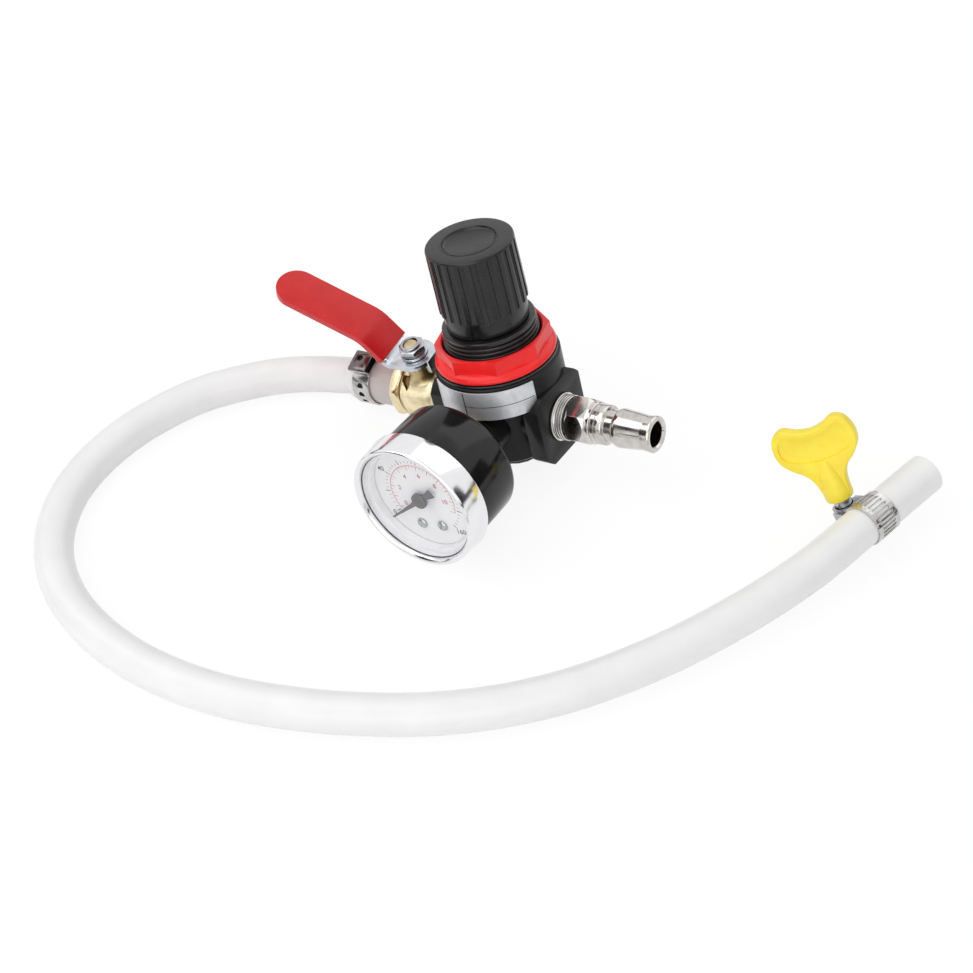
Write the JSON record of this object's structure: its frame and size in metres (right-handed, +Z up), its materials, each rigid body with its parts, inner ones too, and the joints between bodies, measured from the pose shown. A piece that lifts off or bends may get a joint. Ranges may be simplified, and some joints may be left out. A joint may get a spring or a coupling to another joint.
{
  "type": "cooling system pressure tester",
  "caption": "Hand air regulator with dial gauge, quick plug and red-lever ball valve, feeding a looped white silicone hose that carries a thumb-key hose clamp.",
  "frame": {"origin": "centre of the ground area under the regulator, gauge, plug and valve, at the height of the surface they lie on", "axes": "+X along the ports towards the air plug, +Y away from the gauge's face, +Z up"},
  "size_m": [0.2582, 0.1756, 0.0812],
  "materials": {
    "black_cast": "satin black paint over die casting",
    "silver_film": "plain brushed silver plate",
    "black_plastic": "moulded black resin",
    "red_plastic": "glossy red resin",
    "turned_brass": "turned brass",
    "cast_brass": "forged and sandblasted brass",
    "zinc_steel": "bright zinc plated steel",
    "spring_steel": "oiled spring wire",
    "black_rubber": "matt rubber",
    "black_enamel": "glossy black enamel",
    "chrome": "polished chrome",
    "clear_lens": "clear polished lens",
    "dial_white": "matt white print ground",
    "pointer_grey": "matt grey",
    "nickel": "satin nickel plate",
    "white_resin": "white low-friction resin",
    "red_vinyl": "dipped soft vinyl",
    "stainless": "stainless strip",
    "silicone": "translucent white silicone",
    "yellow_plastic": "moulded yellow resin"
  },
  "bodies": {
    "regulator": {"regulator_body": "black_cast", "label_band": "silver_film", "bonnet": "black_plastic", "panel_nut": "red_plastic", "main_spring": "spring_steel", "diaphragm": "black_rubber", "poppet_spring": "spring_steel", "bottom_cap": "black_plastic", "cap_o_ring": "black_rubber", "rear_port_plug": "zinc_steel", "gauge_case": "black_enamel", "gauge_bezel": "chrome", "gauge_lens": "clear_lens", "gauge_dial": "dial_white", "movement_frame": "turned_brass", "bourdon_tube": "turned_brass", "gauge_socket": "turned_brass", "dial_screw_left": "nickel", "dial_screw_right": "nickel", "air_plug": "nickel", "plug_washer": "white_resin", "valve_body": "cast_brass", "valve_end": "turned_brass", "seat_inlet": "white_resin", "seat_outlet": "white_resin", "stem_packing": "white_resin", "packing_gland": "turned_brass", "ear_clamp": "stainless", "hose": "silicone", "key_clamp_band": "stainless", "key_clamp_housing": "stainless"},
    "pressure_screw": {"adjusting_screw": "turned_brass"},
    "knob": {"knob": "black_plastic"},
    "spring_nut": {"spring_seat": "zinc_steel"},
    "valve_core": {"pressure_plate": "zinc_steel", "poppet": "turned_brass"},
    "pointer": {"gauge_pointer": "pointer_grey", "gauge_pinion": "turned_brass"},
    "sector": {"gauge_sector": "turned_brass"},
    "ball_lever": {"valve_lever": "zinc_steel", "lever_sleeve": "red_vinyl", "lever_washer": "zinc_steel", "lever_nut": "zinc_steel", "valve_stem": "turned_brass", "valve_ball": "chrome"},
    "thumb_key": {"key_clamp_screw": "zinc_steel", "clamp_key": "yellow_plastic"}
  },
  "joints": [
    {"name": "pressure_turn", "type": "hinge", "parent": "regulator", "child": "pressure_screw", "pos_m": [0.00928, 0.02025, 0.05147], "axis": [0.1701, -0.0713, -0.9828], "range_deg": [0, 1297]},
    {"name": "knob_pull", "type": "slide", "parent": "pressure_screw", "child": "knob", "axis": [-0.1701, 0.0713, 0.9828], "range_m": [0, 0.003]},
    {"name": "spring_load", "type": "slide", "parent": "regulator", "child": "spring_nut", "axis": [0.1701, -0.0713, -0.9828], "range_m": [0, 0.0045], "deforming": ["main_spring"]},
    {"name": "valve_open", "type": "slide", "parent": "regulator", "child": "valve_core", "axis": [0.1701, -0.0713, -0.9828], "range_m": [0, 0.0012], "stiffness_N_per_m": 600, "springref_m": -0.002, "deforming": ["poppet_spring"]},
    {"name": "pointer_turn", "type": "hinge", "parent": "regulator", "child": "pointer", "pos_m": [0.01435, -0.032, 0.02216], "axis": [0.0122, 0.9975, -0.0703], "range_deg": [0, 262], "stiffness_Nm_per_rad": 0.0002, "springref_deg": -17.19},
    {"name": "sector_turn", "type": "hinge", "parent": "regulator", "child": "sector", "pos_m": [0.00455, -0.02576, 0.02367], "axis": [0.0122, 0.9975, -0.0703], "range_deg": [-40.75, 0]},
    {"name": "ball_valve_turn", "type": "hinge", "parent": "regulator", "child": "ball_lever", "pos_m": [-0.01838, 0.01653, 0.02599], "axis": [-0.1697, -0.103, 0.9801], "range_deg": [-90, 0]},
    {"name": "clamp_key_turn", "type": "hinge", "parent": "regulator", "child": "thumb_key", "pos_m": [0.12617, 0.03183, 0.00557], "axis": [-0.5114, 0.1243, 0.8503], "continuous": true}
  ],
  "couplings": [
    {"joint": "pressure_turn", "follows": "spring_load", "rad_per_m": 5026.5},
    {"joint": "pointer_turn", "follows": "sector_turn", "ratio": -6.4286}
  ]
}
